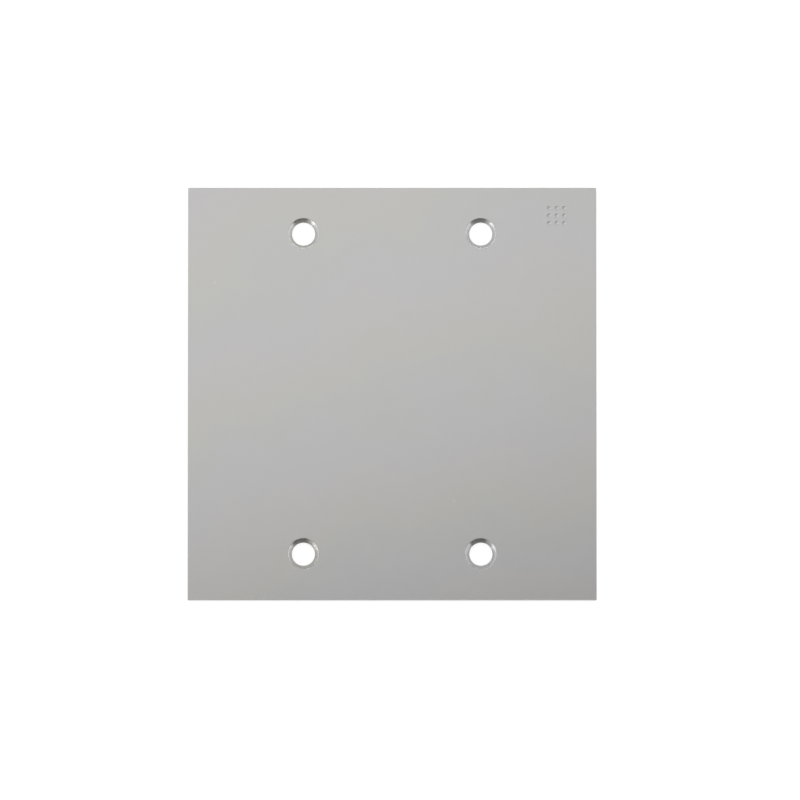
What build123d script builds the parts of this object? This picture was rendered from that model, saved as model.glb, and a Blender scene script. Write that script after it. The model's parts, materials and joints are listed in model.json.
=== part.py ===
from build123d import *
import os
from math import radians, tan

# Blank cover plate for a two-gang electrical box: one flat piece of zinc-plated sheet
# steel, blanked to a rectangle, with a countersunk screw hole for each end of the two gangs.
#
# Frame: the origin is the centre of the back face, the face that lies against the box.
# +Z points out of the front face, +X runs across the gangs and +Y runs up them.
# Lengths are in millimetres and angles in degrees.

# Blank
plate_width = 106.0
plate_height = 107.5
plate_thickness = 2.0
corner_radius = 0.2
front_roll_radius = 0.1  # the press draws the front face down along the outline
back_edge_break = 0.1  # deburring bevels the edge on the side where the shear broke out

# Screw holes: one at each corner of the pattern that two device straps share
gang_pitch = 46.0
screw_pitch_along_gang = 83.5
screw_hole_diameter = 6.0
seat_angle = 90.0  # full angle of the cone that takes a countersunk screw head
straight_land = 0.95  # height of the cylindrical wall left behind the cone
seat_rim_radius = 0.08  # rounding where the cone meets the front face
hole_exit_break = 0.1  # bevel where the hole leaves the back face

# Worked out from the values above
screw_hole_radius = screw_hole_diameter / 2
seat_depth = plate_thickness - straight_land
seat_radius = screw_hole_radius + seat_depth * tan(radians(seat_angle / 2))


def make_blank():
    """The bare rectangle of sheet, with its two worked edges."""
    sheet = extrude(RectangleRounded(plate_width, plate_height, corner_radius), plate_thickness)
    sheet = fillet(sheet.faces().sort_by(Axis.Z)[-1].edges(), front_roll_radius)
    return chamfer(sheet.faces().sort_by(Axis.Z)[0].edges(), back_edge_break)


def make_hole_cutter():
    """What is taken out for one screw: exit bevel, straight land and conical seat, about Z."""
    side = Polyline(
        (0, 0),
        (screw_hole_radius + hole_exit_break, 0),
        (screw_hole_radius, hole_exit_break),
        (screw_hole_radius, straight_land),
        (seat_radius, plate_thickness),
        (0, plate_thickness),
        close=True,
    )
    return revolve(Plane.XZ * make_face(side), Axis.Z)


def make_cover_plate():
    """The finished plate: the blank with the screw pattern cut and the seats' rims eased."""
    cutter = make_hole_cutter()
    screw_places = GridLocations(gang_pitch, screw_pitch_along_gang, 2, 2)
    plate = make_blank() - screw_places * cutter
    front_face = plate.faces().sort_by(Axis.Z)[-1]
    seat_rims = [edge for loop in front_face.inner_wires() for edge in loop.edges()]
    return fillet(seat_rims, seat_rim_radius)


os.makedirs("parts", exist_ok=True)
cover_plate = make_cover_plate()
export_step(cover_plate, "parts/cover_plate.step")
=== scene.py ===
import json
from math import atan2, ceil, cos, exp, hypot, pi, radians, sin, tan

import bpy
from mathutils import Matrix, Vector, noise


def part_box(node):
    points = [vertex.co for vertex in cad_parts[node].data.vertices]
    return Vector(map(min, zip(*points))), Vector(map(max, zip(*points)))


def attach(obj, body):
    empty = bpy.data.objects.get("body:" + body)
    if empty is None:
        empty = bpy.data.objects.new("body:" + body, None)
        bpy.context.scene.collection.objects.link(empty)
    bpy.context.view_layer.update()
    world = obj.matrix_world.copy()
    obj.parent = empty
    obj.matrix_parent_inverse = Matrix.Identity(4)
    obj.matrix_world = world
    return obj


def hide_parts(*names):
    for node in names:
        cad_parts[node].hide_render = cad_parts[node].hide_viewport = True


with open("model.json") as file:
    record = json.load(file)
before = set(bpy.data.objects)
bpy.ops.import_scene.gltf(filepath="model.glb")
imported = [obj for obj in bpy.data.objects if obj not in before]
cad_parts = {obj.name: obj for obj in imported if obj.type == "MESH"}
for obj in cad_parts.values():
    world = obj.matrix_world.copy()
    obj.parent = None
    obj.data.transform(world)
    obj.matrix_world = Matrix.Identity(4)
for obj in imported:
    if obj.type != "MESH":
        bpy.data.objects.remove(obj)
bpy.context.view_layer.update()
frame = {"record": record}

# The looks of a blank cover plate: one piece of zinc-plated sheet steel that lies on a pale
# floor with its front face up. Lengths are in metres. The outline, the thickness and the
# screw pattern come from the frame, and the edges and seats below are those of the solid.

mm = 0.001

# ---- Sizes from the frame ----
plate_low, plate_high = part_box("cover_plate")
plate_width = plate_high.x - plate_low.x
plate_height = plate_high.y - plate_low.y
thickness = plate_high.z - plate_low.z
mounts = {mount["name"]: mount for mount in frame["record"]["mounts"]}
screw_pattern = mounts["screw_holes"]["dims"]
hole_radius = screw_pattern["hole_r_mm"] * mm
half_pitch_x = screw_pattern["spacing_x_mm"] * mm / 2
half_pitch_y = screw_pattern["spacing_y_mm"] * mm / 2

# ---- Edges of the blank and forms of the holes, as in the solid ----
corner_radius = 0.2 * mm
roll_radius = 0.1 * mm
back_break = 0.1 * mm
straight_land = 0.95 * mm
seat_half_angle = radians(45)
seat_rim_radius = 0.08 * mm
exit_break = 0.1 * mm
seat_radius = hole_radius + (thickness - straight_land) * tan(seat_half_angle)

# ---- How finely the plate is meshed ----
face_cell = 1.6 * mm
hole_cell = 0.5 * mm
mark_cell = 0.1 * mm
hair = 0.01 * mm  # less than any cell
patch_half = 6.3 * mm  # half the square round each hole, which is meshed in rings
patch_steps = 7
patch_crowding = 1.5  # above 1, the rings lie closer together near the hole
corner_steps = 8
roll_steps = 6
rim_steps = 3
seat_steps = 6
side_steps = 4
sharp_angle = radians(25)

# ---- A plain struck mark near the top right corner: a square of punch dots ----
mark_x = plate_width / 2 - 10.3 * mm
mark_y = plate_height / 2 - 7.3 * mm
dots_per_side = 3
dot_pitch = 1.95 * mm
dot_radius = 0.55 * mm
dot_depth = 0.088 * mm
lip_height = 0.16 * dot_depth  # the low lip that the punch raises round a dot
lip_radius = 1.1 * dot_radius
lip_width = 0.3 * dot_radius
mark_half = dot_pitch * (dots_per_side - 1) / 2 + 2 * dot_radius

# ---- How far the face is from flat ----
bow_height = 0.012 * mm
bow_length = 38 * mm
bow_fade = 4 * mm  # it dies out over this distance towards an edge or a seat

# ---- Colour and roughness of the plating ----
zinc_colour = (0.559, 0.553, 0.544)
seat_colour_painted_lighter = (0.598, 0.592, 0.582)  # a lighter copy of the zinc colour for the turned seats: painted light that lifts the tone of what they reflect
face_roughness = 0.35
side_roughness = 0.42
seat_roughness = 0.29
mottle_size, mottle_gain, mottle_roughness = 19 * mm, 0.005, 0.006
bloom_size, bloom_gain = 3.2 * mm, 0.004
pore_size, pore_roughness = 0.16 * mm, 0.02
dull_roughness = 0.12  # what the coarse break of the side adds, and how much darker it is
dull_darkening_and_rim_shade = 0.08
rim_dullness_and_shade = 3.0  # the seats' rims are this many times as dull as that break: rougher, and darker with painted shade that dims their highlight
rim_dulled_depth = 0.035 * mm
# painted glints: two small bright spots painted into the face's colour
glint_places = ((-46 * mm, 29 * mm), (16 * mm, -28 * mm))
glint_radius = 0.62 * mm
glint_gain = 0.09

# ---- The clear passivation film's faint tints, which lie in arcs round a far place ----
film_centre = (60 * mm, -200 * mm, 0)
film_pitch = 40 * mm
film_start = 26 * mm  # red is strongest this far from the centre, and again after each pitch
film_blue_shift = -0.28  # moves the blue arcs out from the red ones, as a share of the pitch
film_depth = 0.017  # how strong the tints are
film_waver = 0.26  # how far an arc strays, as a share of the pitch
film_waver_size = 30 * mm

# ---- Relief of the finishes: sizes are lengths along X, Y and Z ----
endless = 1.0  # much longer than the plate
grain_height = 0.001 * mm
rolling_size = (0.25 * mm, 16 * mm, endless)
rolling_height = 0.0014 * mm
scratch_size = (9 * mm, 0.08 * mm, endless)
scratch_turns = [radians(degrees) for degrees in (8, 67, 131)]
scratch_edge, scratch_bottom = 0.66, 0.72  # values of the noise where a scratch starts and is deepest
scratch_depth = 0.0015 * mm
drag_size = (0.12 * mm, 0.12 * mm, 3 * mm)
drag_height = 0.006 * mm
break_size = (0.2 * mm, 0.2 * mm, 0.35 * mm)
break_height = 0.03 * mm
burnish_bottom = 0.62 * thickness
burnish_blend = 0.08 * mm
burnish_waver = 0.15 * mm
burnish_waver_size = 1.4 * mm
ring_pitch = 0.07 * mm
ring_height = 0.0018 * mm
noise_low, noise_high = 0.3, 0.7  # where most of a noise's values lie

# ---- Studio ----
horizon_strength = 1.75
wall_strength = 0.9
zenith_strength = 0.2
horizon_top, wall_foot = 0.1, 0.3  # as heights on a unit sphere
wall_top, zenith_start = 0.8, 0.92
floor_half = 20 * plate_width
floor_gap = 0.02 * mm
paper_tone = 0.45
paper_lift = 0.72
key_height = 0.4
key_turn = radians(12)
key_left, key_right = -0.26, 0.17
key_near, key_far = -0.02, 0.23
key_radiance = 0.841
card_looks = {  # from, to, height and strength of the cards that only reflections see
    "dark_card": ((-0.27, -0.6), (0.74, -0.6), 0.31, 0.0),  # a dark crescent in each seat's far half
    "grey_card": ((-0.24, -0.26), (-0.13, -0.3), 0.11, 0.6),  # softens the right end of that crescent
    "bright_card": ((-0.225, -0.095), (-0.185, -0.15), 0.03, 6.0),  # a glint to the right of it
    "flag": ((-0.105, -0.068), (-0.095, -0.088), 0.011, 0.9),  # dims that glint at the two near holes
    "back_strip": ((0.1, 0.1), (-0.1, 0.1), 0.007, 5.0),  # lifts the seats' near half, most at the far holes
    "back_skirt": ((0.3, 0.3), (-0.3, 0.3), 0.04, 0.0),  # dims the near half of each seat a little
}

# ---- Camera ----
camera_tilt = radians(6)
picture_width = 1.9575 * plate_width
aim_x = 0.0192 * plate_width
aim_y = -0.0158 * plate_height
sensor_width, lens_length = 36, 700  # in millimetres, as Blender has them

FACE, SIDE, SEAT = range(3)  # which of the plate's materials a face of the mesh has
WHITE = (1, 1, 1, 1)


def grid_lines(half_core, half_pitch, mark_at):
    """Lines of the faces' grid along one axis: fine over the mark, medium over the holes."""
    hole_edges = [s * half_pitch + t * patch_half for s in (-1, 1) for t in (-1, 1)]
    stops = sorted([-half_core, *hole_edges, mark_at - mark_half, mark_at + mark_half, half_core])
    lines = [stops[0]]
    for low, high in zip(stops, stops[1:]):
        middle = (low + high) / 2
        over_mark = abs(middle - mark_at) < mark_half
        over_hole = abs(abs(middle) - half_pitch) < patch_half
        cell = mark_cell if over_mark else hole_cell if over_hole else face_cell
        count = ceil((high - low) / cell)
        lines += [low + (high - low) * i / count for i in range(1, count + 1)]
    return lines


def nearest(lines, value):
    """Index of the grid line at a value."""
    return min(range(len(lines)), key=lambda i: abs(lines[i] - value))


def loop_round(i_low, i_high, j_low, j_high):
    """Places round a rectangle of the grid, anticlockwise from its low corner."""
    return (
        [(i, j_low) for i in range(i_low, i_high)]
        + [(i_high, j) for j in range(j_low, j_high)]
        + [(i, j_high) for i in range(i_high, i_low, -1)]
        + [(i_low, j) for j in range(j_high, j_low, -1)]
    )


def in_patch(x, y):
    """Whether a place lies in one of the squares round the holes."""
    return max(abs(abs(x) - half_pitch_x), abs(abs(y) - half_pitch_y)) < patch_half - hair


def dot_relief(x, y):
    """Height of the struck dots at a place on the face: round dishes, each with a low lip."""
    height = 0
    for i in range(dots_per_side):
        for j in range(dots_per_side):
            dot_x = mark_x + (i - (dots_per_side - 1) / 2) * dot_pitch
            dot_y = mark_y + (j - (dots_per_side - 1) / 2) * dot_pitch
            away = hypot(x - dot_x, y - dot_y)
            lip = lip_height * exp(-(((away - lip_radius) / lip_width) ** 2))
            dish = dot_depth * max(0, 1 - (away / dot_radius) ** 2)
            height += lip - dish
    return height


def front_height(x, y):
    """Height of the front face: flat but for a slight unevenness and the struck mark."""
    to_edge = min(plate_width / 2 - abs(x), plate_height / 2 - abs(y))
    to_seat = hypot(abs(x) - half_pitch_x, abs(y) - half_pitch_y) - seat_radius
    share = max(0, min(1, min(to_edge, to_seat) / bow_fade))
    smooth_share = share * share * (3 - 2 * share)
    bow = noise.noise(Vector((x, y, 0)) / bow_length) * bow_height * smooth_share
    near_mark = abs(x - mark_x) < mark_half and abs(y - mark_y) < mark_half
    return thickness + bow + (dot_relief(x, y) if near_mark else 0)


def back_height(x, y):
    """Height of the back face, which is flat."""
    return 0


def outline_profile():
    """The section of the plate's outer edge, front to back, as (distance out of the core, height)."""
    profile = []
    for k in range(roll_steps + 1):
        turn = pi / 2 * k / roll_steps
        profile.append((
            corner_radius - roll_radius * (1 - sin(turn)),
            thickness - roll_radius * (1 - cos(turn)),
        ))
    side_top = thickness - roll_radius
    for k in range(1, side_steps + 1):
        profile.append((corner_radius, side_top + (back_break - side_top) * k / side_steps))
    return profile + [(corner_radius - back_break, 0)]


def hole_profile():
    """The section of a hole's wall, front to back, as (radius, height)."""
    whole_turn = pi / 2 - seat_half_angle
    rim_start = seat_radius + seat_rim_radius * tan(whole_turn / 2)
    profile = []
    for k in range(rim_steps + 1):
        turn = whole_turn * k / rim_steps
        profile.append((
            rim_start - seat_rim_radius * sin(turn),
            thickness - seat_rim_radius * (1 - cos(turn)),
        ))
    seat_top, seat_height = profile[-1]
    for k in range(1, seat_steps + 1):
        share = k / seat_steps
        profile.append((
            seat_top + (hole_radius - seat_top) * share,
            seat_height + (straight_land - seat_height) * share,
        ))
    return profile + [(hole_radius, exit_break), (hole_radius + exit_break, 0)]


class Sheet:
    """The plate's closed mesh: its vertices, and its faces with their finishes.

    Both faces of the plate share a grid, and a place on it is a pair of indices.
    """

    def __init__(self):
        self.vertices, self.faces, self.finishes = [], [], []
        self.xs = grid_lines(plate_width / 2 - corner_radius, half_pitch_x, mark_x)
        self.ys = grid_lines(plate_height / 2 - corner_radius, half_pitch_y, mark_y)
        self.front = self.add_grid(front_height, facing_up=True)
        self.back = self.add_grid(back_height, facing_up=False)
        self.add_outer_edge()
        for hole_x in (-half_pitch_x, half_pitch_x):
            for hole_y in (-half_pitch_y, half_pitch_y):
                self.add_hole(hole_x, hole_y)

    def add_vertex(self, x, y, z):
        self.vertices.append((x, y, z))
        return len(self.vertices) - 1

    def add_face(self, around, finish):
        self.faces.append(around)
        self.finishes.append(finish)

    def add_band(self, ring, next_ring, finish):
        """Faces between two closed rings. Where a vertex is repeated, they are triangles."""
        for i in range(len(ring)):
            j = (i + 1) % len(ring)
            around = (ring[i], ring[j], next_ring[j], next_ring[i])
            self.add_face([v for n, v in enumerate(around) if v != around[n - 1]], finish)

    def add_grid(self, height, facing_up):
        """The front or the back, apart from the squares round the holes: its vertices by place."""
        xs, ys = self.xs, self.ys
        grid = {}
        for i, x in enumerate(xs):
            for j, y in enumerate(ys):
                if not in_patch(x, y):
                    grid[i, j] = self.add_vertex(x, y, height(x, y))
        for i in range(len(xs) - 1):
            for j in range(len(ys) - 1):
                if not in_patch((xs[i] + xs[i + 1]) / 2, (ys[j] + ys[j + 1]) / 2):
                    around = [grid[i, j], grid[i + 1, j], grid[i + 1, j + 1], grid[i, j + 1]]
                    self.add_face(around if facing_up else around[::-1], FACE)
        return grid

    def add_outer_edge(self):
        """Rings round the core rectangle, from front to back, fanned out at its corners."""
        last_i, last_j = len(self.xs) - 1, len(self.ys) - 1
        border = []
        for i, j in loop_round(0, last_i, 0, last_j):
            side_x = (i == last_i) - (i == 0)
            side_y = (j == last_j) - (j == 0)
            if side_x and side_y:
                start = atan2(side_y, side_x) - pi / 4
                turns = [start + pi / 2 * k / corner_steps for k in range(corner_steps + 1)]
                border += [((i, j), cos(turn), sin(turn)) for turn in turns]
            else:
                border.append(((i, j), side_x, side_y))
        ring = [self.front[place] for place, _, _ in border]
        for out, z in outline_profile():
            next_ring = [
                self.add_vertex(self.xs[i] + out * out_x, self.ys[j] + out * out_y, z)
                for (i, j), out_x, out_y in border
            ]
            self.add_band(next_ring, ring, SIDE)
            ring = next_ring
        self.add_band([self.back[place] for place, _, _ in border], ring, FACE)

    def add_hole(self, hole_x, hole_y):
        """Rings from the square round a hole in to its rim, down the wall and out to the square."""
        low_i, high_i = (nearest(self.xs, hole_x + s * patch_half) for s in (-1, 1))
        low_j, high_j = (nearest(self.ys, hole_y + s * patch_half) for s in (-1, 1))
        square = loop_round(low_i, high_i, low_j, high_j)
        spokes = [Vector((self.xs[i] - hole_x, self.ys[j] - hole_y)) for i, j in square]

        def rings_towards(radius, height):
            """Rings between the square and a circle, from the square inwards."""
            rings = []
            for k in range(1, patch_steps):
                share = (1 - k / patch_steps) ** patch_crowding
                places = [s.normalized() * radius * (1 - share) + s * share for s in spokes]
                rings.append([
                    self.add_vertex(hole_x + p.x, hole_y + p.y, height(hole_x + p.x, hole_y + p.y))
                    for p in places
                ])
            return rings

        wall = hole_profile()
        rings = [[self.front[place] for place in square]]
        rings += rings_towards(wall[0][0], front_height)
        for radius, z in wall:
            circle = [s.normalized() * radius for s in spokes]
            rings.append([self.add_vertex(hole_x + p.x, hole_y + p.y, z) for p in circle])
        rings += rings_towards(wall[-1][0], back_height)[::-1]
        rings.append([self.back[place] for place in square])
        for k, (ring, next_ring) in enumerate(zip(rings, rings[1:])):
            in_wall = patch_steps <= k < patch_steps + len(wall) - 1
            self.add_band(ring, next_ring, SEAT if in_wall else FACE)


def add_object(name, data):
    thing = bpy.data.objects.new(name, data)
    bpy.context.scene.collection.objects.link(thing)
    return thing


def make_plate():
    sheet = Sheet()
    mesh = bpy.data.meshes.new("cover_plate_surface")
    mesh.from_pydata(sheet.vertices, [], sheet.faces)
    mesh.materials.append(plated_steel("rolled_face", zinc_colour, face_roughness, rolled_relief))
    mesh.materials.append(plated_steel("sheared_side", zinc_colour, side_roughness, sheared_relief))
    # the seats take the lighter colour, which paints in light on them
    mesh.materials.append(plated_steel("turned_seat", seat_colour_painted_lighter, seat_roughness, turned_relief))
    mesh.polygons.foreach_set("material_index", sheet.finishes)
    mesh.validate()
    mesh.shade_smooth()
    mesh.set_sharp_from_angle(angle=sharp_angle)
    plate = add_object("cover_plate_surface", mesh)
    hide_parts("cover_plate")
    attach(plate, "root")


class Nodes:
    """A node tree that starts empty, with short ways to add nodes and join them up."""

    def __init__(self, owner):
        owner.use_nodes = True
        self.tree = owner.node_tree
        self.tree.nodes.clear()

    def add(self, kind, settings=None, **inputs):
        """Adds a node. An input is a value, or a socket to link.

        In its name, an underscore stands for a space, or comes before a socket's number.
        """
        node = self.tree.nodes.new("ShaderNode" + kind)
        for name, value in (settings or {}).items():
            setattr(node, name, value)
        for name, value in inputs.items():
            key = int(name[1:]) if name[0] == "_" else name.replace("_", " ")
            if isinstance(value, bpy.types.NodeSocket):
                self.tree.links.new(value, node.inputs[key])
            else:
                node.inputs[key].default_value = value
        return node

    def math(self, operation, *values):
        inputs = {f"_{n}": value for n, value in enumerate(values)}
        return self.add("Math", {"operation": operation}, **inputs).outputs[0]

    def mix(self, share, low, high):
        return self.add("Mix", {"data_type": "FLOAT"}, _0=share, _2=low, _3=high).outputs[0]

    def distance(self, place, point):
        return self.add("VectorMath", {"operation": "DISTANCE"}, _0=place, _1=point).outputs["Value"]

    def ramp(self, value, start, end, low, high, smooth=False):
        """Goes from low to high while the value goes from start to end."""
        return self.add(
            "MapRange", {"interpolation_type": "SMOOTHSTEP" if smooth else "LINEAR"},
            Value=value, From_Min=start, From_Max=end, To_Min=low, To_Max=high,
        ).outputs[0]

    def spots(self, place, size, detail=2.0, turn=0.0):
        """Noise with spots of about this size: one length, or one for each axis, turned about Z."""
        sizes = size if isinstance(size, tuple) else (size,) * 3
        at = self.add(
            "Mapping", {"vector_type": "TEXTURE"}, Vector=place, Rotation=(0, 0, turn), Scale=sizes
        ).outputs[0]
        return self.add("TexNoise", Vector=at, Scale=1.0, Detail=detail).outputs["Fac"]

    def spread(self, spots, low, high):
        """Noise, spread over low to high."""
        return self.ramp(spots, noise_low, noise_high, low, high)


def plated_steel(name, colour, roughness, relief):
    """Clear zinc plating on steel. relief gives the worked surface's height and how dull it is, which also
    sets the painted shade on the seats' rims.
    """
    material = bpy.data.materials.new(name)
    nodes = Nodes(material)
    place = nodes.add("TexCoord").outputs["Object"]
    mottle = nodes.spots(place, mottle_size, detail=4.0)
    bloom = nodes.spots(place, bloom_size, detail=5.0)
    pores = nodes.spots(place, pore_size)
    worked_height, dullness_and_shade = relief(nodes, place)

    tone = nodes.math(
        "ADD",
        nodes.spread(mottle, 1 - mottle_gain, 1 + mottle_gain),
        nodes.spread(bloom, -bloom_gain, bloom_gain),
    )
    # painted glints on the face
    tone = nodes.math("ADD", tone, painted_glints(nodes, place))
    # darker where dull: the side's coarse break, and painted shade on the seats' rims
    tone = nodes.math("MULTIPLY_ADD", dullness_and_shade, -dull_darkening_and_rim_shade, tone)
    red, green, blue = colour
    tinted = nodes.add(
        "CombineColor",
        Red=nodes.math("MULTIPLY", tone, film_tint(nodes, place, red, 0.0)),
        Green=nodes.math("MULTIPLY", tone, green),
        Blue=nodes.math("MULTIPLY", tone, film_tint(nodes, place, blue, film_blue_shift)),
    ).outputs[0]

    rough = nodes.math(
        "ADD",
        nodes.spread(pores, -pore_roughness, pore_roughness),
        nodes.spread(mottle, -mottle_roughness, mottle_roughness),
    )
    rough = nodes.math("MULTIPLY_ADD", dullness_and_shade, dull_roughness, rough)
    rough = nodes.math("ADD", rough, roughness)

    height = nodes.math("ADD", nodes.spread(pores, 0, grain_height), worked_height)
    bump = nodes.add("Bump", Height=height, Distance=1.0, Strength=1.0).outputs[0]
    steel = nodes.add("BsdfPrincipled", Base_Color=tinted, Metallic=1.0, Roughness=rough, Normal=bump)
    nodes.add("OutputMaterial", Surface=steel.outputs[0])
    return material


def film_tint(nodes, place, colour, shift):
    """One channel of the film's tints, whose arcs are moved by a share of their pitch."""
    away = nodes.distance(place, film_centre)
    arcs = nodes.math("MULTIPLY_ADD", away, 1 / film_pitch, shift - film_start / film_pitch)
    waver = nodes.spread(nodes.spots(place, film_waver_size), -film_waver, film_waver)
    wave = nodes.math("COSINE", nodes.math("MULTIPLY", nodes.math("ADD", arcs, waver), 2 * pi))
    return nodes.math("MULTIPLY_ADD", wave, colour * film_depth, colour)


def painted_glints(nodes, place):
    """Small painted glints on the face: spots where the plating's colour is made brighter, as if a nick
    caught the light.
    """
    gain = 0.0
    for x, y in glint_places:
        away = nodes.distance(place, (x, y, thickness))
        gain = nodes.math("ADD", nodes.ramp(away, 0.0, glint_radius, glint_gain, 0.0, smooth=True), gain)
    return gain


def rolled_relief(nodes, place):
    """Fine lines from the mill's rolls, and hairline scratches from handling."""
    height = nodes.spread(nodes.spots(place, rolling_size, detail=3.0), 0, rolling_height)
    for turn in scratch_turns:
        streaks = nodes.spots(place, scratch_size, detail=1.0, turn=turn)
        depth = nodes.ramp(streaks, scratch_edge, scratch_bottom, 0.0, scratch_depth)
        height = nodes.math("SUBTRACT", height, depth)
    return height, 0.0


def sheared_relief(nodes, place):
    """A smooth band with upright drag lines, and below it the coarse, duller break of the shear."""
    drag = nodes.spread(nodes.spots(place, drag_size), 0, drag_height)
    coarse = nodes.spread(nodes.spots(place, break_size, detail=4.0), 0, break_height)
    waver = nodes.spread(nodes.spots(place, burnish_waver_size), -burnish_waver, burnish_waver)
    z = nodes.math("ADD", nodes.add("SeparateXYZ", Vector=place).outputs["Z"], waver)
    burnished = nodes.ramp(
        z, burnish_bottom - burnish_blend, burnish_bottom + burnish_blend, 0.0, 1.0, smooth=True
    )
    return nodes.mix(burnished, coarse, drag), nodes.math("SUBTRACT", 1.0, burnished)


def turned_relief(nodes, place):
    """Fine rings down a hole's straight land, and the dulled rim of its seat, which is rougher and darkened
    with painted shade.

    The rings follow out - z, which is the same all down a 45 degree seat, so the seat has none.
    """
    x, y, z = nodes.add("SeparateXYZ", Vector=place).outputs
    across = nodes.math("SUBTRACT", nodes.math("ABSOLUTE", x), half_pitch_x)
    along = nodes.math("SUBTRACT", nodes.math("ABSOLUTE", y), half_pitch_y)
    squares = [nodes.math("POWER", side, 2) for side in (across, along)]
    out = nodes.math("SQRT", nodes.math("ADD", *squares))
    down_land = nodes.add("CombineXYZ", X=nodes.math("SUBTRACT", out, z)).outputs[0]
    rings = nodes.spots(down_land, ring_pitch, detail=1.0)
    rim_dull_start, rim_dull_end = thickness - 2 * rim_dulled_depth, thickness - rim_dulled_depth
    dullness_and_shade = nodes.ramp(z, rim_dull_start, rim_dull_end, 0.0, rim_dullness_and_shade)
    return nodes.spread(rings, 0, ring_height), dullness_and_shade


def paper_material():
    """White paper that takes the plate's shadow. Camera and reflections see it brighter.

    From below it is clear, so that the plate's back can be looked at too.
    """
    material = bpy.data.materials.new("white_paper")
    nodes = Nodes(material)
    paper = nodes.add("BsdfDiffuse", Color=(paper_tone, paper_tone, paper_tone, 1)).outputs[0]
    rays = nodes.add("LightPath")
    seen = nodes.math("MAXIMUM", rays.outputs["Is Camera Ray"], rays.outputs["Is Glossy Ray"])
    lift = nodes.add("Emission", Color=WHITE, Strength=nodes.math("MULTIPLY", seen, paper_lift))
    both = nodes.add("AddShader", _0=paper, _1=lift.outputs[0]).outputs[0]
    from_below = nodes.add("NewGeometry").outputs["Backfacing"]
    clear = nodes.add("BsdfTransparent").outputs[0]
    one_sided = nodes.add("MixShader", _0=from_below, _1=both, _2=clear).outputs[0]
    nodes.add("OutputMaterial", Surface=one_sided)
    return material


def glowing_material(name, strength):
    material = bpy.data.materials.new(name)
    nodes = Nodes(material)
    glow = nodes.add("Emission", Color=WHITE, Strength=strength).outputs[0]
    nodes.add("OutputMaterial", Surface=glow)
    return material


def add_backdrop(name, corners, material):
    """A flat piece of the studio."""
    mesh = bpy.data.meshes.new(name)
    mesh.from_pydata(corners, [], [(0, 1, 2, 3)])
    mesh.materials.append(material)
    backdrop = add_object(name, mesh)
    return backdrop


def make_floor():
    half, low = floor_half, -floor_gap
    corners = [(-half, -half, low), (half, -half, low), (half, half, low), (-half, half, low)]
    add_backdrop("floor", corners, paper_material())


def make_world():
    """A white studio: the camera sees plain white, and pale walls and a dim top light the plate."""
    world = bpy.data.worlds.new("studio")
    bpy.context.scene.world = world
    nodes = Nodes(world)
    direction = nodes.add("TexCoord").outputs["Generated"]
    upward = nodes.add("SeparateXYZ", Vector=direction).outputs["Z"]
    walls = nodes.ramp(upward, horizon_top, wall_foot, horizon_strength, wall_strength)
    dimming = nodes.ramp(upward, wall_top, zenith_start, 0.0, zenith_strength - wall_strength)
    seen = nodes.add("LightPath").outputs["Is Camera Ray"]
    strength = nodes.mix(seen, nodes.math("ADD", walls, dimming), 1.0)
    background = nodes.add("Background", Color=WHITE, Strength=strength)
    nodes.add("OutputWorld", Surface=background.outputs[0])


def make_key_softbox():
    """A level rectangle of light over the plate, turned about it. The camera doesn't see it."""
    light = bpy.data.lights.new("key_softbox", "AREA")
    light.shape = "RECTANGLE"
    light.size, light.size_y = key_right - key_left, key_far - key_near
    light.energy = key_radiance * pi * light.size * light.size_y
    lamp = add_object("key_softbox", light)
    middle = Vector(((key_left + key_right) / 2, (key_near + key_far) / 2, key_height))
    lamp.location = Matrix.Rotation(key_turn, 3, "Z") @ middle
    lamp.rotation_euler.z = key_turn
    lamp.visible_camera = False


def make_cards():
    """Cards that stand on the floor. Only reflections see them."""
    for name, (start, end, height, strength) in card_looks.items():
        corners = [(*start, 0), (*end, 0), (*end, height), (*start, height)]
        card = add_backdrop(name, corners, glowing_material(name, strength))
        card.visible_camera = card.visible_diffuse = card.visible_shadow = False


def make_camera():
    """A long lens that looks almost straight down, tilted from the -Y side of the plate."""
    camera = bpy.data.cameras.new("camera")
    camera.sensor_width, camera.lens = sensor_width, lens_length
    distance = picture_width * lens_length / sensor_width
    camera.clip_start, camera.clip_end = distance / 100, distance * 10
    aim = Vector((aim_x, aim_y, thickness))
    back = Vector((0, -sin(camera_tilt), cos(camera_tilt)))
    view = add_object("camera", camera)
    view.location = aim + back * distance
    view.rotation_mode = "QUATERNION"
    view.rotation_quaternion = (-back).to_track_quat("-Z", "Y")
    bpy.context.scene.camera = view


make_camera()
make_plate()
make_floor()
make_world()
make_key_softbox()
make_cards()
bpy.context.scene.view_settings.view_transform = "Standard"
